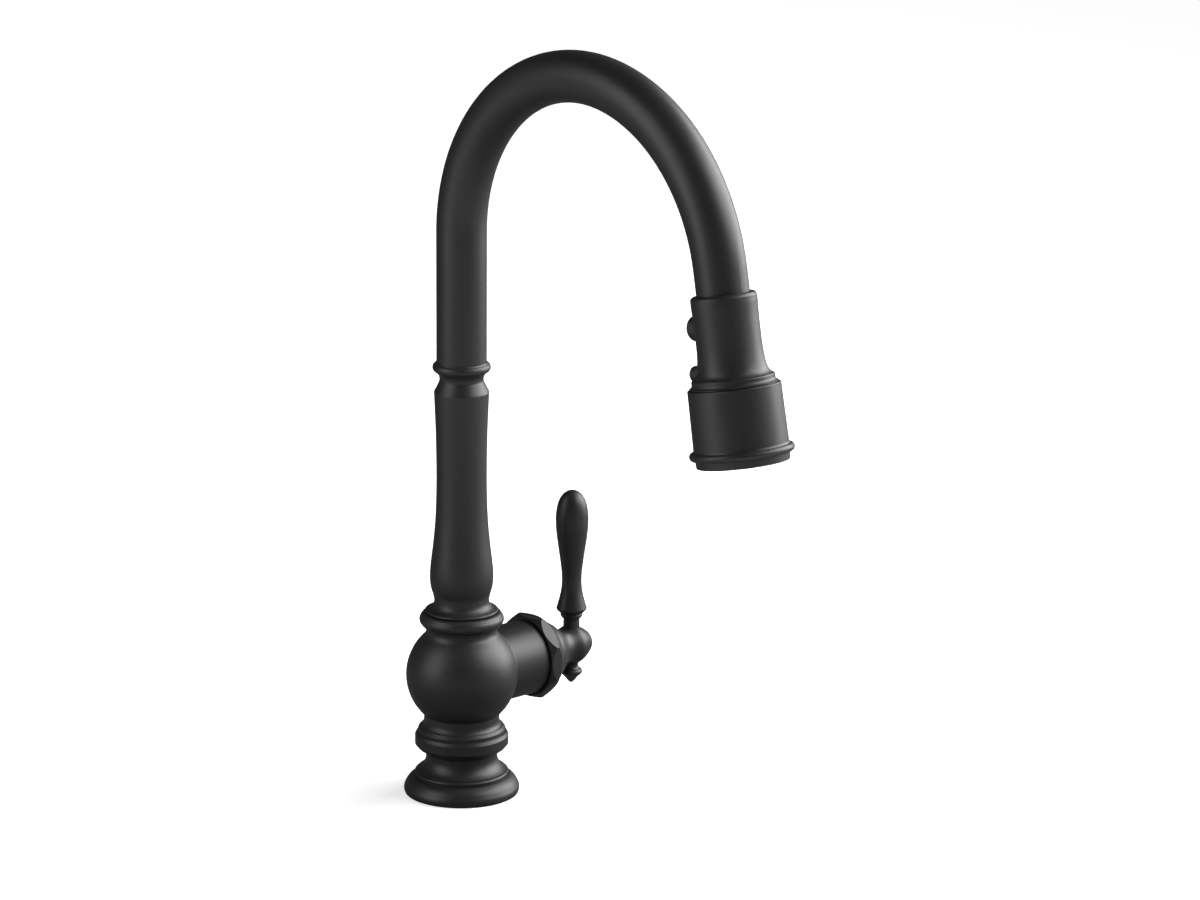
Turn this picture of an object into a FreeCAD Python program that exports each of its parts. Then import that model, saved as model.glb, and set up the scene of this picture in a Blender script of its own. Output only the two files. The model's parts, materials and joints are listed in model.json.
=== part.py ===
import FreeCAD, Part
import os
from math import sin, cos, radians, sqrt, pi
from FreeCAD import Vector

# Single-hole pull-down kitchen faucet.  Millimetres, +Z up.
# Origin: centre of the base on the deck plane.  Spout towards -Y, lever handle on +X.

# ---------------------------------------------------------------- driving dimensions
TOTAL_H = 447.7            # deck to the top of the arch
FOOT_R = 33.7              # widest radius of the foot
BALL_R, BALL_Z = 32.3, 71.1      # valve sphere
BOSS_R, BOSS_END = 21.9, 49.7    # valve boss on +X
NUT_R = 25.9               # bonnet nut, centre to corner
TUBE_R, TUBE_WALL = 14.4, 1.6    # spout tube
ARC1_R, ARC1_DEG = 100.5, 99.3   # first bend of the spout
ARC2_R, ARC2_DEG = 109.3, 69.8   # second, wider bend
END_RUN = 15.6             # straight run before the spray head
LEAN = 180.0 - ARC1_DEG - ARC2_DEG   # lean of the spray head from vertical
HOSE_R = 5.5
SHANK_R, SHANK_BORE = 17.25, 14.2
SEAT_R = 16.9              # shank where it is screwed into the body
PIVOT_X, SKIRT_R = 57.0, 20.2    # handle ball joint: centre and dome radius
TILT = 10.0                # the closed handle leans back by this angle, degrees
HANDLE_X = 87.0            # lever axis
STEM_R = 4.85              # lever stem and finial spigot
FIT = 0.05                 # running fit, radial
GAP = 0.3                  # free gap between moving bodies

X, Y, Z = Vector(1, 0, 0), Vector(0, 1, 0), Vector(0, 0, 1)
O = Vector(0, 0, 0)


# ---------------------------------------------------------------- helpers
def outline(start, *steps):
    """Closed r-z outline: (r, z) is a line, ((r, z), (r, z)) an arc, [..] a spline."""
    at = Vector(start[0], 0, start[1])
    first, edges = at, []
    for step in steps:
        if isinstance(step, list):
            pts = [at] + [Vector(r, 0, z) for r, z in step]
            curve = Part.BSplineCurve()
            curve.interpolate(pts)
            edges.append(curve.toShape())
            at = pts[-1]
        elif isinstance(step[0], tuple):
            mid, end = [Vector(r, 0, z) for r, z in step]
            edges.append(Part.Arc(at, mid, end).toShape())
            at = end
        else:
            end = Vector(step[0], 0, step[1])
            if (end - at).Length > 1e-6:
                edges.append(Part.makeLine(at, end))
            at = end
    if (at - first).Length > 1e-6:
        edges.append(Part.makeLine(at, first))
    return Part.Face(Part.Wire(edges))


def turned(start, *steps):
    return outline(start, *steps).revolve(O, Z, 360)


def to_x(shape, z=BALL_Z):
    """Lay a part turned about Z along +X at height z."""
    shape = shape.copy()
    shape.rotate(O, Y, 90)
    shape.translate(Vector(0, 0, z))
    return shape


def rod(r, a, b):
    return Part.makeCylinder(r, (b - a).Length, a, b - a)


def tube(r_out, r_in, z0, z1):
    ring = Part.makeCylinder(r_out, z1 - z0, Vector(0, 0, z0))
    return ring.cut(Part.makeCylinder(r_in, z1 - z0, Vector(0, 0, z0)))


def save(name, shape):
    shape.exportStep("parts/" + name + ".step")
    box = shape.BoundBox
    print("%-22s solids %d  vol %9.1f  valid %s  z %.1f..%.1f" % (
        name, len(shape.Solids), shape.Volume, shape.isValid(), box.ZMin, box.ZMax))


def one(shape):
    shape = shape.removeSplitter()
    return shape.Solids[0] if len(shape.Solids) == 1 else shape


def threaded(r, depth, pitch, z0, z1, bore):
    """Rod with ring grooves cut at the thread pitch, bored through."""
    steps = [(r - depth, z0)]
    z = z0
    while z + pitch <= z1 + 1e-6:
        steps += [(r, z + pitch * 0.35), (r, z + pitch * 0.6), (r - depth, z + pitch)]
        z += pitch
    return turned((bore, z0), *(steps + [(r - depth, z1), (bore, z1)]))


os.makedirs("parts", exist_ok=True)

# ---------------------------------------------------------------- body casting
s_low = BALL_Z - sqrt(BALL_R ** 2 - 21.9 ** 2)
s_top = BALL_Z + sqrt(BALL_R ** 2 - 22.3 ** 2)
BODY_TOP = 98.4
casting = turned(
    (SEAT_R, 0), (33.2, 0),
    ((FOOT_R, 2.2), (32.8, 5.2)),
    ((30.8, 8.3), (28.2, 10.1)), (27.1, 10.3), (27.1, 11.0),
    ((27.4, 12.0), (26.6, 13.0)), (25.9, 13.2), (25.9, 13.8),
    ((22.5, 16.6), (20.8, 20.8)), (20.8, 23.6),
    ((21.8, 25.6), (23.9, 26.6)), (25.3, 27.2), (27.2, 29.4), (27.2, 34.7), (26.2, 36.5),
    (25.3, 36.9), (25.3, 37.5), ((25.4, 38.5), (24.8, 39.4)), (24.3, 40.1),
    ((22.7, 41.6), (22.0, 43.8)), (21.9, s_low),
    ((BALL_R, BALL_Z), (22.3, s_top)), ((21.04, 96.2), (20.6, BODY_TOP)), (SEAT_R, BODY_TOP))
casting = casting.fuse(Part.makeCylinder(SEAT_R, BODY_TOP, O))
boss = rod(BOSS_R, Vector(15, 0, BALL_Z), Vector(BOSS_END, 0, BALL_Z))
spigot = rod(17.0, Vector(BOSS_END - 1, 0, BALL_Z), Vector(52.2, 0, BALL_Z))
casting = casting.fuse([boss, spigot])
# soft blend where the boss leaves the sphere
seam = [e for e in casting.Edges
        if 30 > e.CenterOfMass.x > 18 and abs(e.CenterOfMass.z - BALL_Z) < 4
        and e.BoundBox.XMin > 15 and e.BoundBox.ZLength > 30 and e.BoundBox.XMax < 32]
casting = casting.makeFillet(1.6, seam)
STUBS = {"hot": (2.0, 10.4), "cold": (2.0, -10.4), "outlet": (10.6, 0.0)}
PORTS = {"hot": (7.4, 64.0), "cold": (-7.4, 64.0), "outlet": (0.0, 78.0)}
CHAMBER_X = 16.0
cuts = [Part.makeCylinder(SEAT_R, 16.0, O),
        Part.makeCylinder(SHANK_BORE, 44.0, O),
        Part.makeCylinder(7.0, 120.0, O),
        Part.makeCylinder(11.4, 20.0, Vector(0, 0, 92.0)),
        rod(14.6, Vector(CHAMBER_X, 0, BALL_Z), Vector(60, 0, BALL_Z)),
        rod(15.7, Vector(48.3, 0, BALL_Z), Vector(60, 0, BALL_Z))]
for key in STUBS:
    sx, sy = STUBS[key]
    py, pz = PORTS[key]
    cuts.append(rod(2.9, Vector(sx, sy, 40), Vector(sx, sy, 50)))
    cuts.append(rod(2.3, Vector(sx, sy, 49), Vector(sx, sy, pz + 1.5)))
    cuts.append(rod(2.3, Vector(sx, sy, pz), Vector(CHAMBER_X + 1, py, pz)))
# groove for the deck gasket
cuts.append(tube(30.0, 24.0, -1.0, 1.6))
for c in cuts:
    casting = casting.cut(c)
save("body_casting", one(casting))
save("base_gasket", tube(30.0, 24.0, 0.0, 1.6))

# bead ring that carries the swivelling column
RING_TOP = 108.9
save("top_bead_ring", turned(
    (11.4, BODY_TOP), (20.4, BODY_TOP), (20.7, 100.0), ((22.2, 100.7), (23.4, 102.0)),
    ((24.5, 104.5), (23.6, 107.1)), ((22.9, 108.2), (21.6, RING_TOP)), (11.4, RING_TOP)))

# ---------------------------------------------------------------- threaded shank below the deck
SHANK_END = -58.0
shank = tube(SEAT_R, SHANK_BORE, 0.0, 16.0)
shank = shank.fuse(tube(SHANK_R, SHANK_BORE, -18.0, 0.0))
shank = shank.fuse(threaded(SHANK_R - 0.5, 0.75, 2.0, SHANK_END, -18.0, SHANK_BORE))
save("mounting_shank", one(shank))

# water pipes through the shank, with their end fittings
STUB_END = -124.0
fits = []
for key in ("hot", "cold", "outlet"):
    sx, sy = STUBS[key]
    pipe = rod(2.9, Vector(sx, sy, STUB_END), Vector(sx, sy, 50))
    pipe = pipe.cut(rod(2.1, Vector(sx, sy, STUB_END), Vector(sx, sy, 50)))
    save(key + "_pipe", pipe)
    fit = threaded(3.7, 0.5, 1.4, STUB_END - 8.4, STUB_END - 2.8, 2.1)
    fit = fit.fuse(tube(4.0, 2.1, STUB_END - 14.0, STUB_END - 8.4))
    hexa = Part.makePolygon([Vector(5.2 * cos(radians(60 * k)), 5.2 * sin(radians(60 * k)), 0)
                             for k in range(7)])
    collar = Part.Face(hexa).extrude(Vector(0, 0, 8.0))
    collar.translate(Vector(0, 0, STUB_END - 2.8))
    collar = collar.cut(rod(2.1, Vector(0, 0, STUB_END - 4), Vector(0, 0, STUB_END)))
    collar = collar.cut(rod(2.9, Vector(0, 0, STUB_END), Vector(0, 0, STUB_END + 6)))
    fit = one(fit.fuse(collar))
    fit.rotate(O, Z, 30 if key == "outlet" else 0)
    fit.translate(Vector(sx, sy, 0))
    if key == "outlet":
        save("outlet_fitting", fit)
    else:
        fits.append(fit)
save("inlet_fittings", Part.makeCompound(fits))

# ---------------------------------------------------------------- swivel post
POST_TOP = 160.0
save("swivel_post", tube(11.4, 7.0, 92.0, POST_TOP))
clip = tube(12.5, 11.4, 157.6, 158.6).cut(Part.makeBox(4, 8, 3, Vector(9, -4, 157)))
save("post_clip", one(clip))

# ---------------------------------------------------------------- cartridge (axis +X)
base = turned((0, CHAMBER_X), (14.5, CHAMBER_X), (14.5, 34.0), (12.4, 34.0), (12.4, 36.0), (0, 36.0))
base = to_x(base)
FIXED = {"hot": (5.6, 65.0), "cold": (-5.6, 65.0), "outlet": (0.0, 76.6)}
for key in PORTS:
    py, pz = PORTS[key]
    fy, fz = FIXED[key]
    base = base.cut(rod(2.3, Vector(CHAMBER_X - 1, py, pz), Vector(24, py, pz)))
    base = base.cut(rod(2.3, Vector(23, py, pz), Vector(37, fy, fz)))
groove = to_x(tube(15.0, 13.3, 20.0, 22.4)).fuse(to_x(tube(15.0, 13.3, 28.0, 30.4)))
save("cartridge_base", one(base.cut(groove)))
seals = [to_x(tube(14.6, 13.3, 20.3, 22.1)), to_x(tube(14.6, 13.3, 28.3, 30.1))]
save("cartridge_seals", Part.makeCompound(seals))
housing = to_x(turned((12.4, 34.0), (14.5, 34.0), (14.5, 48.4), (12.0, 48.4), (12.0, 52.0),
                      (9.5, 52.0), (9.5, 47.0), (12.4, 47.0)))
save("cartridge_housing", housing)
fixed = to_x(turned((0, 36.0), (12.4, 36.0), (12.4, 40.0), (0, 40.0)))
for key in FIXED:
    fy, fz = FIXED[key]
    fixed = fixed.cut(rod(2.0, Vector(35, fy, fz), Vector(41, fy, fz)))
save("fixed_disc", one(fixed))
ring = to_x(tube(15.6, 12.0, 48.4, 50.0)).cut(
    Part.makeBox(4, 5, 8, Vector(47.5, -2.5, BALL_Z + 10)))
save("retaining_ring", one(ring))

# bonnet nut: eight flats, domed outer end, hollow for the handle dome
n0, n1 = BOSS_END, 61.6
pts = [Vector(NUT_R * cos(radians(22.5 + 45 * k)), NUT_R * sin(radians(22.5 + 45 * k)), n0)
       for k in range(9)]
octagon = Part.Face(Part.makePolygon(pts)).extrude(Vector(0, 0, n1 - n0))
envelope = turned((0, n0), (23.6, n0), (26.1, 53.9), (26.1, 54.8), (22.3, 60.0), (21.2, n1), (0, n1))
bonnet = octagon.common(envelope)
hollow = turned((0, n0), (17.0, n0), (17.0, 52.2), (17.4, 52.4), (SKIRT_R + GAP, 53.0),
                (SKIRT_R + GAP, n1), (0, n1))
save("bonnet_nut", to_x(one(bonnet.cut(hollow))))

# rotating carrier with a slot for the lever spindle
carrier = turned((0, 45.0), (12.1, 45.0), (12.1, 46.6), (9.5 - FIT, 46.6), (9.5 - FIT, 61.0),
                 (8.4, 62.0), (0, 62.0))
carrier = to_x(carrier)
slot_w = 6.0 + 2 * GAP
carrier = carrier.cut(Part.makeBox(30, slot_w, 14.4, Vector(44, -slot_w / 2, BALL_Z - 7.2)))
carrier = carrier.cut(Part.makeBox(9.0, slot_w, 30, Vector(53.5, -slot_w / 2, BALL_Z - 15)))
carrier = carrier.cut(rod(1.5, Vector(PIVOT_X, -12, BALL_Z), Vector(PIVOT_X, 12, BALL_Z)))
save("cartridge_carrier", one(carrier))
pin = rod(1.5, Vector(PIVOT_X, -9.2, BALL_Z), Vector(PIVOT_X, 9.2, BALL_Z))
save("pivot_pin", pin)
# moving disc: round, with a pocket for the spindle tip
DISC_X0 = 40.0 + 0.05
moving = to_x(turned((0, DISC_X0), (7.4, DISC_X0), (7.4, 44.5), (0, 44.5)))
moving = moving.cut(Part.makeBox(3.0, 5.6, 5.6, Vector(42.0, -2.8, BALL_Z - 2.8)))
recess = to_x(turned((0, 40.0), (4.8, 40.0), (4.8, 41.2), (0, 41.2)))
save("moving_disc", one(moving.cut(recess)))

# ---------------------------------------------------------------- handle
tip_r = 2.4
spindle = Part.makeBox(83.8 - 47.0, 6.0, 6.0, Vector(47.0, -3.0, BALL_Z - 3.0))
spindle = spindle.fuse(rod(1.9, Vector(43.4, 0, BALL_Z), Vector(47.5, 0, BALL_Z)))
spindle = spindle.fuse(Part.makeSphere(tip_r, Vector(44.6 - 0.1, 0, BALL_Z)).common(
    Part.makeBox(4, 8, 8, Vector(42.3, -4, BALL_Z - 4))))
# waisted at the pivot so that the carrier keeps its cross pin
spindle = spindle.cut(rod(1.5 + FIT, Vector(PIVOT_X, -4, BALL_Z), Vector(PIVOT_X, 4, BALL_Z)))
save("lever_spindle", one(spindle))


def on_dome(r, rho):
    return PIVOT_X + sqrt(rho ** 2 - r ** 2)


inner = SKIRT_R - 2.2
lap = radians(TILT)
hub = turned(
    (SKIRT_R * cos(lap), PIVOT_X - SKIRT_R * sin(lap)),
    ((SKIRT_R * cos(radians(25)), PIVOT_X + SKIRT_R * sin(radians(25))),
     (14.4, on_dome(14.4, SKIRT_R))),
    [(12.4, 74.0), (10.9, 77.3), (10.5, 80.0), (11.3, 84.0), (11.8, 86.6), (11.1, 90.0), (9.2, 94.0),
     (6.5, 98.0), (3.4, 100.2), (0.0, 100.8)],
    (0, on_dome(0, inner)),
    ((inner * sin(radians(50)), PIVOT_X + inner * cos(radians(50))),
     (inner * cos(lap), PIVOT_X - inner * sin(lap))))
hub = to_x(hub)
# the skirt's rim is square to the tilted handle
keep = Part.makeBox(80, 80, 80, Vector(0, -40, -40))
keep.rotate(O, Y, -TILT)
keep.translate(Vector(PIVOT_X, 0, BALL_Z))
hub = hub.common(keep)
hub = hub.cut(Part.makeBox(83.8 - 60.0, 6.0, 6.0, Vector(60.0, -3.0, BALL_Z - 3.0)))
hub = hub.cut(rod(3.0, Vector(HANDLE_X, 0, BALL_Z - 20), Vector(HANDLE_X, 0, BALL_Z + 20)))
for up in (1, -1):
    flat_z = BALL_Z + up * 9.2
    hub = hub.cut(rod(STEM_R, Vector(HANDLE_X, 0, flat_z), Vector(HANDLE_X, 0, flat_z + up * 8)))
hub = hub.cut(rod(2.0, Vector(80.4, 2.0, BALL_Z), Vector(80.4, 12, BALL_Z)))
save("handle_hub", one(hub))
grub = rod(2.0, Vector(80.4, 3.0, BALL_Z), Vector(80.4, 8.0, BALL_Z))
socket = Part.Face(Part.makePolygon([Vector(80.4 + 1.15 * cos(radians(60 * k)), 8.1,
                                            BALL_Z + 1.15 * sin(radians(60 * k)))
                                     for k in range(7)])).extrude(Vector(0, -2.4, 0))
save("hub_setscrew", one(grub.cut(socket)))


def at_handle(shape):
    shape = shape.copy()
    shape.translate(Vector(HANDLE_X, 0, 0))
    return shape


stem = turned((0, 58.8), (3.0, 58.8), (3.0, BALL_Z + 9.2), (STEM_R, BALL_Z + 9.2), (STEM_R, 85.6),
              ((5.0, 87.2), (6.0, 88.2)), (6.0, 88.6), (2.4, 88.6), (2.4, 100.0), (0, 100.0))
save("lever_stem", at_handle(stem))
save("lever_ring", at_handle(turned((2.4, 88.6), (6.1, 88.6), ((6.6, 89.6), (6.1, 90.7)),
                                    (5.6, 90.9), (2.4, 90.9))))
grip = turned((2.4, 90.9), (6.9, 90.9), (8.8, 92.9), ((9.0, 93.7), (8.8, 94.5)),
              [(7.7, 98.5), (6.35, 104.5), (5.85, 112.0), (6.7, 121.5), (8.25, 132.5), (9.4, 141.5),
               (9.7, 148.5), (8.9, 156.2), (6.6, 162.0), (3.3, 165.1), (0, 165.9)],
              (0, 100.0), (2.4, 100.0))
save("lever_grip", at_handle(grip))
finial = turned((3.0, BALL_Z - 9.2), (STEM_R, BALL_Z - 9.2), (STEM_R, 60.2), ((4.3, 59.5), (4.2, 58.6)),
                ((4.5, 56.9), (5.7, 56.1)), ((6.6, 54.5), (5.7, 52.9)),
                [(4.2, 51.4), (2.2, 49.0), (1.2, 47.9), (0, 47.4)],
                (0, 58.8), (3.0, 58.8))
save("hub_finial", at_handle(finial))

# ---------------------------------------------------------------- spout: bell, column, collar
BELL_Z = RING_TOP + GAP
NECK_Z = 118.2
save("spout_bell", turned(
    (12.9, BELL_Z), (20.6, BELL_Z), ((21.2, BELL_Z + 0.8), (20.6, 110.7)), (20.0, 111.0),
    ((17.1, 112.7), (15.9, 116.0)), (15.9, NECK_Z), (12.9, NECK_Z)))
COLUMN_TOP = 240.4
column = turned(
    (12.9, NECK_Z), (16.3, NECK_Z), ((16.5, 119.7), (17.1, 121.4)),
    [(17.95, 124.8), (18.4, 130.6), (17.7, 139.7), (16.3, 151.6), (15.25, 163.6), (14.7, 175.5),
     (14.5, 190.4), (14.62, 205.0), (15.0, 220.0), (15.5, 232.0), (15.8, COLUMN_TOP - 0.8)],
    (15.5, COLUMN_TOP), (10.4, COLUMN_TOP), (10.4, 236.0), (12.9, 234.5))
save("column", column)
COLLAR_TOP = 257.4
inner_r = TUBE_R - TUBE_WALL
save("collar_ring", turned(
    (9.0, 236.0), (10.4, 236.0), (10.4, COLUMN_TOP), (15.6, COLUMN_TOP),
    ((14.2, 243.0), (12.7, 246.4)), ((13.1, 249.3), (14.6, 251.3)), (15.2, 251.7),
    ((16.7, 254.2), (15.2, 256.7)), (14.75, COLLAR_TOP), (inner_r, COLLAR_TOP),
    (inner_r, 268.0), (inner_r - 0.6, 268.6), (9.0, 268.6)))

# spout centre line: straight, two tangent bends, straight
rise = TOTAL_H - TUBE_R
t1, t2 = radians(ARC1_DEG), radians(ARC1_DEG + ARC2_DEG)
c1 = Vector(0, -ARC1_R, rise - ARC1_R)          # the crown lies on the first bend


def on_arc(c, r, t):
    return c + Vector(0, r * cos(t), r * sin(t))


c2 = on_arc(c1, ARC1_R - ARC2_R, t1)
BEND_Z = c1.z
down = Vector(0, -sin(radians(LEAN)), -cos(radians(LEAN)))
bend_end = on_arc(c2, ARC2_R, t2)
dock = bend_end + down * END_RUN                # top rim of the spray head, on its axis
print("bend starts z %.1f  dock %s  lean %.2f" % (BEND_Z, dock, LEAN))


def piped(r, z0, run):
    """Round bar along the spout's centre line, from z0 to a run below the last bend."""
    def disc(at, way):
        return Part.Face(Part.Wire(Part.makeCircle(r, at, way)))
    start, joint = Vector(0, 0, BEND_Z), on_arc(c1, ARC1_R, t1)
    along = Vector(0, -sin(t1), cos(t1))
    bar = rod(r, Vector(0, 0, z0), start)
    bar = bar.fuse([disc(start, Z).revolve(c1, X, ARC1_DEG),
                    disc(joint, along).revolve(c2, X, ARC2_DEG),
                    rod(r, bend_end, bend_end + down * run)])
    return bar.removeSplitter()


def run_length(z0, run):
    return BEND_Z - z0 + ARC1_R * t1 + ARC2_R * (t2 - t1) + run


IN_HEAD = 4.0              # tube end reaches this far into the spray head
save("spout_tube", one(piped(TUBE_R, COLLAR_TOP, END_RUN + IN_HEAD).cut(
    piped(inner_r, COLLAR_TOP - 1e-3, END_RUN + IN_HEAD + 1e-3))))

HOSE_LOW = -100.0
HOSE_IN = -5.0             # hose stops at the crimp sleeve, above the head rim
hose = piped(HOSE_R, HOSE_LOW, END_RUN + HOSE_IN)
save("spray_hose", hose)
length = run_length(HOSE_LOW, END_RUN + HOSE_IN)
print("hose: length %.1f  volume / (section x length) %.5f  bend radii %.1f %.1f" % (
    length, hose.Volume / (pi * HOSE_R ** 2 * length), ARC1_R, ARC2_R))
save("hose_coupling", turned(
    (0, -120), (4.4, -120), (4.4, -112), (5.2, -112), (5.2, -110), (4.4, -110), (4.4, -106),
    (7.0, -106), (7.0, -97), (6.4, -95.5), (6.4, HOSE_LOW + 6), (HOSE_R, HOSE_LOW + 6),
    (HOSE_R, HOSE_LOW), (0, HOSE_LOW)))
save("bearing_lower", turned((11.4 + FIT, RING_TOP + GAP), (12.9, RING_TOP + GAP), (12.9, 124),
                             (11.4 + FIT, 124)))
save("bearing_upper", turned((11.4 + FIT, 149), (12.9, 149), (12.9, 157.3), (11.4 + FIT, 157.3)))


# ---------------------------------------------------------------- spray head (local: axis -Z)
def to_head(shape):
    shape = shape.copy()
    shape.rotate(O, X, -LEAN)
    shape.translate(dock)
    return shape


def head(start, *steps):
    """Turned about the head axis; outlines use the distance s below the rim."""
    def flip(step):
        if isinstance(step, list):
            return [(r, -s) for r, s in step]
        if isinstance(step[0], tuple):
            return tuple((r, -s) for r, s in step)
        return (step[0], -step[1])
    return turned(flip(start), *[flip(s) for s in steps])


save("dock_liner", to_head(head((8.6, -20), (9.6, -20), (9.6, -11), (inner_r, -11), (inner_r, -10),
                                (9.6, -10), (9.6, 3.6), (8.6, 3.6))))
save("dock_magnet", to_head(head((9.6, -10), (inner_r, -10), (inner_r, 3.6), (9.6, 3.6))))

sleeve = head((3.0, HOSE_IN), (6.2, HOSE_IN), (6.2, 1.0), (5.9, 1.3), (6.2, 1.6), (6.2, 4.0),
              (5.9, 4.3), (6.2, 4.6), (6.2, 9.5), (4.4, 10.2), (4.4, 14.0), (3.0, 14.0))
save("hose_crimp_sleeve", to_head(sleeve))
BALL_S = 19.0
knob = head((3.0, 14.0), (4.4, 14.0), (4.4, BALL_S - sqrt(6.8 ** 2 - 4.4 ** 2)),
            ((6.8, BALL_S), (3.0, BALL_S + sqrt(6.8 ** 2 - 9))))
save("hose_swivel_ball", to_head(knob))

# upper shell with a recess for the tube end and two button ports on its rear
UP_S, BTN_R, UP_FACE = 16.1, 7.1, 24.8
LOW_S, LOW_R, LOW_FACE = 40.9, 4.6, 29.2
UP_PORT_R, LOW_PORT_R = 8.4, 6.8
STEP_S, CUP_S, FACE_S = 42.4, 47.4, 80.6        # step ring, cup and spray face start here
shell = head((TUBE_R + 0.4, -2.0), (16.0, -2.0), ((17.35, -1.2), (17.9, 0.8)), (17.93, 3.0),
             [(17.72, 8.0), (17.6, 18.0), (17.75, 29.0), (18.15, 34.0), (18.75, 37.8), (19.5, 40.0),
              (20.3, 41.2), (21.6, 42.2)],
             (21.6, STEP_S), (15.4, STEP_S), (15.4, 5.2), (TUBE_R + 0.4, 4.6))
ring = head((15.4, STEP_S), (21.4, STEP_S), ((22.2, 42.6), (22.5, 43.3)), (22.5, 44.6),
            ((22.9, 45.8), (24.0, 46.6)), (24.0, 46.9), (23.3, 47.0), (23.3, CUP_S), (15.4, CUP_S))


def port(r, d0, d1, s):
    """Round bar out of the head's rear at s, trimmed flat just above the cup."""
    bar = Part.makeCylinder(r, d1 - d0, Vector(0, d0, -s), Y)
    return bar.common(Part.makeBox(80, 80, 60, Vector(-40, -40, -46.9)))


for key, s, r, out, d1 in (("upper", UP_S, BTN_R, UP_PORT_R, 18.3),
                           ("lower", LOW_S, LOW_R, LOW_PORT_R, 22.6)):
    shell = shell.cut(port(out, 12.2, 30, s))
    ring = ring.cut(port(out, 12.2, 30, s))
    collar = port(out, 12.2, d1, s).cut(port(r + GAP, 12.2, d1, s))
    rim = [e for e in collar.Edges if e.BoundBox.YMin > d1 - 0.01]      # all but the bore's edge
    collar = collar.makeFillet(0.5, [e for e in rim if abs(e.BoundBox.XLength - 2 * (r + GAP)) > 0.2])
    save("button_collar_" + key, to_head(collar))
save("head_shell", to_head(one(shell)))
save("head_step_ring", to_head(one(ring)))

# inner waterway core: docking nose, ball seat, spool bore, spray chamber
PLATE_S = FACE_S - 4.0
core = head((6.55, -8.0), (8.0, -8.0), (8.3, -7.5), (8.3, 8.6), (15.4, 8.6), (15.4, 14.0),
            (11.9, 14.0), (11.9, 52.0), (20.0, 60.0), (20.0, PLATE_S), (0, PLATE_S), (0, 52.0),
            (4.3, 52.0), (4.3, 29.0), (5.4, 27.0), (7.1, 24.0), (7.1, 12.5), (6.55, 11.0))
chamber = head((0, 62.0), (18.0, 62.0), (18.0, PLATE_S), (0, PLATE_S))
core = core.cut(chamber).cut(head((0, 50.0), (3.0, 50.0), (3.0, 63.0), (0, 63.0)))
for s, out in ((UP_S, UP_PORT_R), (LOW_S, LOW_PORT_R)):
    core = core.cut(port(out, 8.4, 30, s))
save("head_core", to_head(one(core)))
save("head_magnet", to_head(head((8.3, 4.6), (12.0, 4.6), (12.0, 8.6), (8.3, 8.6))))

cup = head((20.0, CUP_S), (24.7, CUP_S), ((25.05, 47.6), (25.2, 48.1)), (25.72, 79.0),
           ((25.8, 79.9), (26.1, FACE_S)), (20.0, FACE_S), (20.0, 78.6), (23.4, 78.6), (23.0, 51.0),
           (20.0, 51.0))
cup = cup.fuse(head((11.9, CUP_S), (23.4, CUP_S), (23.4, 49.0), (11.9, 49.0)))
cup = cup.cut(head((0, 50), (11.9, 50), (11.9, 51.9), (20.0, 60), (20.0, 70), (0, 70)))
save("cup_shell", to_head(one(cup)))
save("bead_ring", to_head(head((22.0, FACE_S), (26.8, FACE_S), ((28.4, 82.7), (27.1, 84.9)),
                               (22.0, 84.9))))
save("face_lip", to_head(head((22.0, 84.9), (25.6, 84.9), (25.2, 88.6), ((25.0, 89.2), (24.3, 89.4)),
                              (22.6, 88.4), (22.0, 86.6))))
plate = head((9.2, FACE_S), (22.0, FACE_S), (22.0, 86.2), (20.0, 86.6), (11.0, 86.6), (9.2, 86.2))
plate = plate.fuse(head((9.2, PLATE_S), (20.0, PLATE_S), (20.0, FACE_S), (9.2, FACE_S)))
nozzles = []
for count, pitch_r in ((14, 12.2), (20, 15.6), (26, 18.5)):
    for k in range(count):
        a = 2 * pi * (k + 0.5) / count
        at = Vector(pitch_r * cos(a), pitch_r * sin(a), -PLATE_S - 0.5)
        hole = Part.makeCylinder(1.0, 12, at, -Z)
        plate = plate.cut(hole)
        cone = Part.makeCone(1.0, 0.8, 11.2, at, -Z).cut(Part.makeCylinder(0.35, 12, at, -Z))
        nozzles.append(cone)
save("spray_plate", to_head(one(plate)))
save("spray_nozzles", to_head(Part.makeCompound(nozzles)))
aer = head((0, 78.6), (9.2, 78.6), (9.2, 86.2), (8.8, 87.2), (7.6, 87.5), (7.0, 86.6), (0, 86.6))
for i in range(-3, 4):
    for j in range(-3, 4):
        if i * i + j * j <= 9:
            aer = aer.cut(Part.makeBox(1.3, 1.3, 6, Vector(1.8 * i - 0.65, 1.8 * j - 0.65, -88.6)))
save("aerator_insert", to_head(one(aer)))


def button(r, d0, face, s, edge_r, hollow):
    """Push button: rounded rim, dished face, open back."""
    body = port(r, d0, face, s)
    body = body.makeFillet(edge_r, [e for e in body.Edges if e.BoundBox.YMin > face - 0.01])
    dish = Part.makeSphere(16.0, Vector(0, face + 16.0 - hollow, -s))
    return body.cut(dish).cut(port(r - 1.8, d0, d0 + 4.0, s))


PRESS = 1.8
save("button_upper", to_head(one(button(BTN_R, 12.2 + PRESS, UP_FACE, UP_S, 1.6, 0.6))))
save("button_lower", to_head(one(button(LOW_R, 12.2 + PRESS, LOW_FACE, LOW_S, 1.2, 0.3))))
spool = head((0, 30.5), (3.0, 30.5), (4.0, 31.5), (4.0, 36.0), (2.4, 36.6), (2.4, 41.0), (4.0, 41.6),
             (4.0, 46.0), (0, 46.0))
save("diverter_spool", to_head(spool))
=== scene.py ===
import json
from math import sin, cos, radians, pi, atan
import bpy
from mathutils import Vector, Matrix


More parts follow.
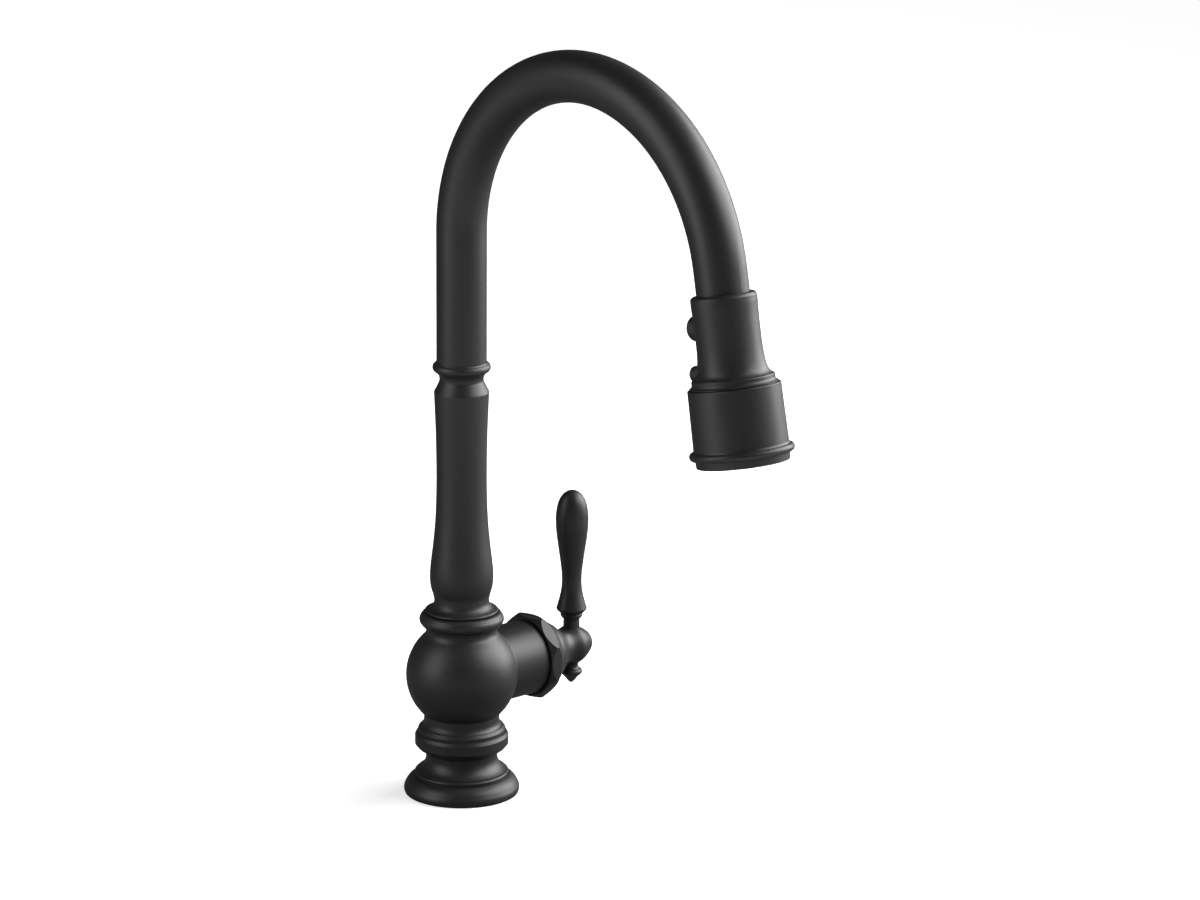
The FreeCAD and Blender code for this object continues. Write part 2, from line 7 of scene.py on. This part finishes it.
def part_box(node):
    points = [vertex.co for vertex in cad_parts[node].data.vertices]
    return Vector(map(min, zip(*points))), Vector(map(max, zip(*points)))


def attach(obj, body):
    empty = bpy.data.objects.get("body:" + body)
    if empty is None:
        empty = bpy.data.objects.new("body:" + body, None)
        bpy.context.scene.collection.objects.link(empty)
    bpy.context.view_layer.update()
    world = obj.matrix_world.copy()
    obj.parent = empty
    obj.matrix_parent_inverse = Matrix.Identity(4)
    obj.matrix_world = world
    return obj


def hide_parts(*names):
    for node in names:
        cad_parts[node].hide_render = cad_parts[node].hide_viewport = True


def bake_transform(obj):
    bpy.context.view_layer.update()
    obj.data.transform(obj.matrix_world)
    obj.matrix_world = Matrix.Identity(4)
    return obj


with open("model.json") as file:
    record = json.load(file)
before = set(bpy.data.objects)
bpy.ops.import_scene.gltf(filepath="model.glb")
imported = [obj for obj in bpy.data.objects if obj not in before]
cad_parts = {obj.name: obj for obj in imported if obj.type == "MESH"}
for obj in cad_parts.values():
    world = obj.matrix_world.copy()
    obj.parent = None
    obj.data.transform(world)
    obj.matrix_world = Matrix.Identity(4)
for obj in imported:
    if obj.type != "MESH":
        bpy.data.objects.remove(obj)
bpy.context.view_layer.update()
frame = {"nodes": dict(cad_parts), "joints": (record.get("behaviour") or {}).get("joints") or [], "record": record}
nodes = frame["nodes"]
joints = {joint["name"]: joint for joint in frame["joints"]}
mm = 0.001

# ---------------------------------------------------------------- sizes shared with the CAD
LEAN = radians(10.9)                        # the spray head leans this far from upright
DOWN = Vector((0, -sin(LEAN), -cos(LEAN)))  # along the spray head, out of the spout
BALL_BELOW_DOCK = 19 * mm
DOCK = Vector(joints["head_swivel"]["pos_m"]) - DOWN * BALL_BELOW_DOCK

SPOUT_TOP = 447.7 * mm
TUBE_R = 14.4 * mm
ARC1_R, ARC1_TURN = 100.5 * mm, radians(99.3)
ARC2_R, ARC2_TURN = 109.3 * mm, radians(69.8)
BEND_Z = SPOUT_TOP - TUBE_R - ARC1_R        # the first arc starts at this height

HOSE_R = 5.5 * mm
HOSE_END_ABOVE_DOCK = 5 * mm
PULL = joints["spray_pull"]["range_m"][1]


# ---------------------------------------------------------------- material helpers
def new_material(name):
    """A material with one Principled shader, and the object coordinates to place its noise."""
    material = bpy.data.materials.new(name)
    material.use_nodes = True
    tree = material.node_tree
    tree.nodes.clear()
    output = tree.nodes.new("ShaderNodeOutputMaterial")
    shader = tree.nodes.new("ShaderNodeBsdfPrincipled")
    tree.links.new(shader.outputs["BSDF"], output.inputs["Surface"])
    coord = tree.nodes.new("ShaderNodeTexCoord")
    return material, tree, shader, coord.outputs["Object"]


def noise(tree, place, scale, detail=4.0, rough=0.5, stretch=None):
    if stretch:
        mapping = tree.nodes.new("ShaderNodeMapping")
        mapping.inputs["Scale"].default_value = stretch
        tree.links.new(place, mapping.inputs["Vector"])
        place = mapping.outputs["Vector"]
    node = tree.nodes.new("ShaderNodeTexNoise")
    node.inputs["Scale"].default_value = scale
    node.inputs["Detail"].default_value = detail
    node.inputs["Roughness"].default_value = rough
    tree.links.new(place, node.inputs["Vector"])
    return node.outputs["Fac"]


def remap(tree, value, lo, hi, from_lo=0.3, from_hi=0.7):
    node = tree.nodes.new("ShaderNodeMapRange")
    node.inputs["From Min"].default_value = from_lo
    node.inputs["From Max"].default_value = from_hi
    node.inputs["To Min"].default_value = lo
    node.inputs["To Max"].default_value = hi
    tree.links.new(value, node.inputs["Value"])
    return node.outputs["Result"]


def math_node(tree, operation, first, second):
    node = tree.nodes.new("ShaderNodeMath")
    node.operation = operation
    tree.links.new(first, node.inputs[0])
    tree.links.new(second, node.inputs[1])
    return node.outputs["Value"]


def mix_colour(tree, factor, a, b):
    node = tree.nodes.new("ShaderNodeMix")
    node.data_type = "RGBA"
    node.inputs["A"].default_value = (*a, 1)
    node.inputs["B"].default_value = (*b, 1)
    tree.links.new(factor, node.inputs["Factor"])
    return node.outputs["Result"]


def bump(tree, shader, height, strength, distance):
    node = tree.nodes.new("ShaderNodeBump")
    node.inputs["Strength"].default_value = strength
    node.inputs["Distance"].default_value = distance
    tree.links.new(height, node.inputs["Height"])
    tree.links.new(node.outputs["Normal"], shader.inputs["Normal"])


def camera_only(tree, seen, unseen):
    """A value that differs between what the camera sees and what lights the object."""
    path = tree.nodes.new("ShaderNodeLightPath")
    node = tree.nodes.new("ShaderNodeMapRange")
    node.inputs["To Min"].default_value = unseen
    node.inputs["To Max"].default_value = seen
    tree.links.new(path.outputs["Is Camera Ray"], node.inputs["Value"])
    return node.outputs["Result"]


# ---------------------------------------------------------------- materials of the object
PATCH_ROUGHNESS = 0.02      # broad patches shift the roughness by this much either way


def finish_material(name, dark, light, rough, metallic=0.0, grain=900.0, bump_mm=0.02, strength=0.3,
                    stretch=None, patch=35.0, ior=1.5):
    """Two-tone colour, roughness that varies in patches and grain, and a fine surface relief."""
    material, tree, shader, place = new_material(name)
    fine = noise(tree, place, grain, detail=3.0, rough=0.55, stretch=stretch)
    broad = noise(tree, place, patch, detail=5.0, rough=0.6)
    colour = mix_colour(tree, remap(tree, broad, 0, 1), dark, light)
    tree.links.new(colour, shader.inputs["Base Color"])
    grains = remap(tree, fine, rough[0], rough[1])
    patches = remap(tree, broad, -PATCH_ROUGHNESS, PATCH_ROUGHNESS)
    tree.links.new(math_node(tree, "ADD", grains, patches), shader.inputs["Roughness"])
    shader.inputs["Metallic"].default_value = metallic
    shader.inputs["IOR"].default_value = ior
    bump(tree, shader, fine, strength, bump_mm * mm)
    return material


def diagonal_strands(tree, weave, hand):
    """One set of strands, wound round the hose to the left or to the right."""
    mapping = tree.nodes.new("ShaderNodeMapping")
    mapping.inputs["Rotation"].default_value = (0, 0, hand * radians(45))
    tree.links.new(weave, mapping.inputs["Vector"])
    wave = tree.nodes.new("ShaderNodeTexWave")
    wave.inputs["Scale"].default_value = 2.2
    wave.inputs["Distortion"].default_value = 0.4
    tree.links.new(mapping.outputs["Vector"], wave.inputs["Vector"])
    return wave.outputs["Fac"]


def braid_material():
    """Woven nylon: two sets of diagonal strands wound round the hose."""
    material, tree, shader, _ = new_material("hose_braid")
    weave = tree.nodes.new("ShaderNodeUVMap")
    weave.uv_map = "weave"
    right_hand = diagonal_strands(tree, weave.outputs["UV"], 1)
    left_hand = diagonal_strands(tree, weave.outputs["UV"], -1)
    height = math_node(tree, "MAXIMUM", right_hand, left_hand)
    colour = mix_colour(tree, height, (0.008, 0.008, 0.009), (0.05, 0.05, 0.053))
    tree.links.new(colour, shader.inputs["Base Color"])
    tree.links.new(remap(tree, height, 0.7, 0.42, 0, 1), shader.inputs["Roughness"])
    bump(tree, shader, height, 0.8, 0.35 * mm)
    return material


LOOK = {
    "black_finish": finish_material("matte_black_coat", (0.0150, 0.0130, 0.0132), (0.0190, 0.0168, 0.0170),
                                    (0.43, 0.49), grain=2200.0, bump_mm=0.010, strength=0.18, patch=22.0,
                                    ior=1.52),
    "brass": finish_material("machined_brass", (0.62, 0.43, 0.17), (0.76, 0.57, 0.27), (0.18, 0.34), 1.0,
                             grain=700.0, stretch=(1, 1, 9), strength=0.25),
    "copper": finish_material("drawn_copper", (0.55, 0.25, 0.14), (0.78, 0.42, 0.27), (0.2, 0.36), 1.0,
                              grain=600.0, stretch=(6, 6, 1)),
    "steel": finish_material("brushed_steel", (0.42, 0.42, 0.43), (0.62, 0.62, 0.62), (0.2, 0.38), 1.0,
                             stretch=(1, 1, 8)),
    "magnet": finish_material("nickel_plate", (0.34, 0.34, 0.35), (0.48, 0.48, 0.48), (0.16, 0.28), 1.0),
    "rubber": finish_material("moulded_rubber", (0.012, 0.012, 0.012), (0.024, 0.024, 0.024),
                              (0.6, 0.75), grain=1500.0, bump_mm=0.03),
    "nozzle_rubber": finish_material("soft_silicone", (0.05, 0.05, 0.052), (0.09, 0.09, 0.092),
                                     (0.5, 0.62), grain=1800.0),
    "black_plastic": finish_material("satin_black_plastic", (0.012, 0.012, 0.0125), (0.02, 0.02, 0.02),
                                     (0.36, 0.5), grain=1600.0),
    "white_plastic": finish_material("acetal", (0.70, 0.70, 0.67), (0.80, 0.80, 0.78), (0.3, 0.42),
                                     grain=1200.0),
    "ceramic": finish_material("lapped_alumina", (0.80, 0.79, 0.75), (0.88, 0.87, 0.84), (0.12, 0.2),
                               grain=1400.0),
    "braid": braid_material(),
}


def dress(obj, slot):
    obj.data.materials.clear()
    obj.data.materials.append(LOOK[slot])


for part in frame["record"]["subparts"]:
    dress(nodes[part["node"]], part["material_slot"])


# ---------------------------------------------------------------- mesh helpers
def mesh_object(name, verts, faces):
    mesh = bpy.data.meshes.new(name)
    mesh.from_pydata([tuple(v) for v in verts], [], faces)
    mesh.validate()
    mesh.update()
    obj = bpy.data.objects.new(name, mesh)
    bpy.context.scene.collection.objects.link(obj)
    return obj


def add_weave(mesh, uvs, wrap):
    """Weave coordinates from the vertices. wrap is the length of weave once round the tube."""
    layer = mesh.uv_layers.new(name="weave")
    for face in mesh.polygons:
        furthest = max(uvs[v][0] for v in face.vertices)
        for loop, v in zip(face.loop_indices, face.vertices):
            around, along = uvs[v]
            # the face that closes the ring carries on past the last strand
            if len(face.vertices) == 4 and furthest - around > wrap / 2:
                around += wrap
            layer.data[loop].uv = (around, along)


# ---------------------------------------------------------------- spray hose
SIDES = 40                  # facets round the hose
STRANDS = 0.9               # weave scale round the hose
COLUMN_STEPS, ARC1_STEPS, ARC2_STEPS, PULLED_STEPS = 140, 60, 50, 360


def arc_point(centre, radius, angle):
    return centre + Vector((0, radius * cos(angle), radius * sin(angle)))


ARC1_CENTRE = Vector((0, -ARC1_R, BEND_Z))
ARC2_CENTRE = arc_point(ARC1_CENTRE, ARC1_R - ARC2_R, ARC1_TURN)
BEND_END = arc_point(ARC2_CENTRE, ARC2_R, ARC1_TURN + ARC2_TURN)


def guided_line():
    """(point, direction) along the part of the hose that the spout guides."""
    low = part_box("spray_hose")[0].z
    line = []
    for i in range(COLUMN_STEPS):
        line.append((Vector((0, 0, low + (BEND_Z - low) * i / COLUMN_STEPS)), Vector((0, 0, 1))))
    for i in range(ARC1_STEPS):
        angle = ARC1_TURN * i / ARC1_STEPS
        line.append((arc_point(ARC1_CENTRE, ARC1_R, angle), Vector((0, -sin(angle), cos(angle)))))
    for i in range(ARC2_STEPS + 1):
        angle = ARC1_TURN + ARC2_TURN * i / ARC2_STEPS
        line.append((arc_point(ARC2_CENTRE, ARC2_R, angle), Vector((0, -sin(angle), cos(angle)))))
    return line


def hose_piece(name, line, drawn, cap_first):
    """Round tube along a line, capped at one end. drawn gives the length of weave up to each point."""
    side = Vector((1, 0, 0))
    verts, uvs = [], []
    for (point, direction), length in zip(line, drawn):
        up = direction.cross(side).normalized()
        for k in range(SIDES):
            angle = 2 * pi * k / SIDES
            verts.append(point + side * HOSE_R * cos(angle) + up * HOSE_R * sin(angle))
            uvs.append((angle * STRANDS, length / HOSE_R))
    faces = []
    for i in range(len(line) - 1):
        for k in range(SIDES):
            a = i * SIDES + k
            b = i * SIDES + (k + 1) % SIDES
            faces.append((a, b, b + SIDES, a + SIDES))
    last = (len(line) - 1) * SIDES
    faces.append(tuple(range(SIDES - 1, -1, -1)) if cap_first else tuple(range(last, last + SIDES)))
    obj = mesh_object(name, verts, faces)
    obj.data.polygons.foreach_set("use_smooth", [True] * len(obj.data.polygons))
    add_weave(obj.data, uvs, wrap=2 * pi * STRANDS)
    obj.data.update()
    dress(obj, "braid")
    return obj


def build_hose():
    line = guided_line()
    drawn = [0.0]
    for (before, _), (point, _) in zip(line, line[1:]):
        drawn.append(drawn[-1] + (point - before).length)
    guided = hose_piece("spray_hose_guided", line, drawn, cap_first=True)
    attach(guided, "spout")
    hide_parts("spray_hose")

    # the last straight run stretches out of the spout, with extra weave where the blend pulls most
    hose_end = DOCK - DOWN * HOSE_END_ABOVE_DOCK
    run = (hose_end - BEND_END).length
    guided_length = drawn[-1]
    steps = [i / PULLED_STEPS for i in range(PULLED_STEPS + 1)]
    line = [(BEND_END + DOWN * run * t, DOWN) for t in steps]
    drawn = [guided_length + run * t + PULL * t * t * (3 - 2 * t) for t in steps]
    pulled = hose_piece("spray_hose_pulled", line, drawn, cap_first=False)
    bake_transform(pulled)


build_hose()

# ---------------------------------------------------------------- camera
bpy.context.scene.view_settings.view_transform = "Standard"

VIEW_AZIMUTH = radians(-41.5)           # the viewer stands this far round from the front
EYE_HEIGHT, EYE_BACK = 0.8046, 2.309
AIM_HEIGHT = 0.224                      # the camera is aimed at this height on the column's axis,
TURN_RIGHT = radians(1.9041)            # then turned to its right
TIP_DOWN = radians(0.43766)             # and tipped down
LENS_MM = 124.89


def build_camera():
    """The camera, and its right and back directions."""
    pitch = atan((EYE_HEIGHT - AIM_HEIGHT) / EYE_BACK)
    back = Vector((sin(VIEW_AZIMUTH) * cos(pitch), -cos(VIEW_AZIMUTH) * cos(pitch), sin(pitch)))
    right = Vector((cos(VIEW_AZIMUTH), sin(VIEW_AZIMUTH), 0))
    up = back.cross(right)
    turn = Matrix.Rotation(-TURN_RIGHT, 3, up)
    right, back = turn @ right, turn @ back
    tip = Matrix.Rotation(-TIP_DOWN, 3, right)
    up, back = tip @ up, tip @ back
    lens = bpy.data.cameras.new("camera")
    lens.sensor_width = 36.0
    lens.lens = LENS_MM
    lens.clip_end = 50
    camera = bpy.data.objects.new("camera", lens)
    eye = Vector((sin(VIEW_AZIMUTH) * EYE_BACK, -cos(VIEW_AZIMUTH) * EYE_BACK, EYE_HEIGHT))
    camera.matrix_world = Matrix.Translation(eye) @ Matrix((right, up, back)).transposed().to_4x4()
    bpy.context.scene.collection.objects.link(camera)
    bpy.context.scene.camera = camera
    return right, back


view_right, view_back = build_camera()

# ---------------------------------------------------------------- floor and background
FLOOR_HALF = 3.0
FLOOR_DROP = 0.2 * mm                   # keeps the floor clear of the foot's underside


def floor_colour(tree, grain):
    """Pale where the camera sees it, darker for the light that it sends back to the object."""
    seen = mix_colour(tree, grain, (0.80, 0.80, 0.80), (0.82, 0.82, 0.815))
    lit = mix_colour(tree, grain, (0.14, 0.14, 0.14), (0.16, 0.16, 0.16))
    swap = tree.nodes.new("ShaderNodeMix")
    swap.data_type = "RGBA"
    tree.links.new(camera_only(tree, 1.0, 0.0), swap.inputs["Factor"])
    tree.links.new(lit, swap.inputs["A"])
    tree.links.new(seen, swap.inputs["B"])
    return swap.outputs["Result"]


def painted_floor_glow(tree, place):
    """Painted glow of the floor, which is no lamp. To the camera it is dim round the foot, painting shade there,
    and brighter further out. For the object it is a painted light, mostly on the viewer's side.
    """
    reach = tree.nodes.new("ShaderNodeVectorMath")
    reach.operation = "LENGTH"
    tree.links.new(place, reach.inputs[0])
    distance = reach.outputs["Value"]
    ahead = tree.nodes.new("ShaderNodeVectorMath")
    ahead.operation = "DOT_PRODUCT"
    ahead.inputs[1].default_value = (sin(VIEW_AZIMUTH), -cos(VIEW_AZIMUTH), 0)
    tree.links.new(place, ahead.inputs[0])
    # painted light for the object: the floor's glow rises away from the foot, fades far out and is strongest on
    # the viewer's side
    rise = remap(tree, distance, 0.05, 0.6, from_lo=0.22, from_hi=0.8)
    fade = remap(tree, distance, 1.0, 0.0, from_lo=1.1, from_hi=1.7)
    front = remap(tree, ahead.outputs["Value"], 0.0, 1.9, from_lo=-0.3, from_hi=0.5)
    lit = math_node(tree, "MULTIPLY", math_node(tree, "MULTIPLY", front, rise), fade)
    # painted shade for the camera: the floor's glow is dimmer round the foot and brighter further out
    seen = remap(tree, distance, 0.60, 0.92, from_lo=0.05, from_hi=0.6)
    level = tree.nodes.new("ShaderNodeMix")
    tree.links.new(camera_only(tree, 1.0, 0.0), level.inputs["Factor"])
    tree.links.new(lit, level.inputs["A"])
    tree.links.new(seen, level.inputs["B"])
    glow = tree.nodes.new("ShaderNodeEmission")
    tree.links.new(level.outputs["Result"], glow.inputs["Strength"])
    return glow.outputs["Emission"]


def build_floor():
    s = FLOOR_HALF
    floor = mesh_object("floor", [(-s, -s, 0), (s, -s, 0), (s, s, 0), (-s, s, 0)], [(0, 1, 2, 3)])
    floor.location.z = -FLOOR_DROP
    material, tree, shader, place = new_material("pale_floor")
    grain = noise(tree, place, 6.0)
    tree.links.new(floor_colour(tree, grain), shader.inputs["Base Color"])
    tree.links.new(remap(tree, grain, 0.85, 0.95), shader.inputs["Roughness"])
    shader.inputs["Specular IOR Level"].default_value = 0.0
    add = tree.nodes.new("ShaderNodeAddShader")
    tree.links.new(shader.outputs["BSDF"], add.inputs[0])
    tree.links.new(painted_floor_glow(tree, place), add.inputs[1])
    output = [node for node in tree.nodes if node.type == "OUTPUT_MATERIAL"][0]
    tree.links.new(add.outputs["Shader"], output.inputs["Surface"])
    floor.data.materials.append(material)


def build_background():
    """White where the camera sees it, and nearly dark as light on the object."""
    world = bpy.data.worlds.new("studio")
    bpy.context.scene.world = world
    world.use_nodes = True
    tree = world.node_tree
    tree.nodes.clear()
    output = tree.nodes.new("ShaderNodeOutputWorld")
    background = tree.nodes.new("ShaderNodeBackground")
    background.inputs["Color"].default_value = (1, 1, 1, 1)
    tree.links.new(camera_only(tree, 1.02, 0.05), background.inputs["Strength"])
    tree.links.new(background.outputs["Background"], output.inputs["Surface"])


build_floor()
build_background()

# ---------------------------------------------------------------- lights
LIGHT_AIM = Vector((0, -0.06, 0.22))


def softbox(name, to_right, to_back, up, width, height, watts):
    """A soft light aimed at the object, placed from LIGHT_AIM along the camera's right and back."""
    light = bpy.data.lights.new(name, "AREA")
    light.shape = "RECTANGLE"
    light.size, light.size_y = width, height
    light.energy = watts
    obj = bpy.data.objects.new(name, light)
    bpy.context.scene.collection.objects.link(obj)
    offset = view_right * to_right + view_back * to_back + Vector((0, 0, up))
    obj.location = LIGHT_AIM + offset
    obj.rotation_euler = (-offset).to_track_quat("-Z", "Y").to_euler()


softbox("key_right", 1.45, -0.75, 0.85, width=1.5, height=1.5, watts=52)
softbox("side_right", 1.35, 0.3, 0.9, width=0.9, height=1.1, watts=16)
softbox("fill_left", -1.25, 0.6, 0.4, width=0.9, height=1.4, watts=10.5)
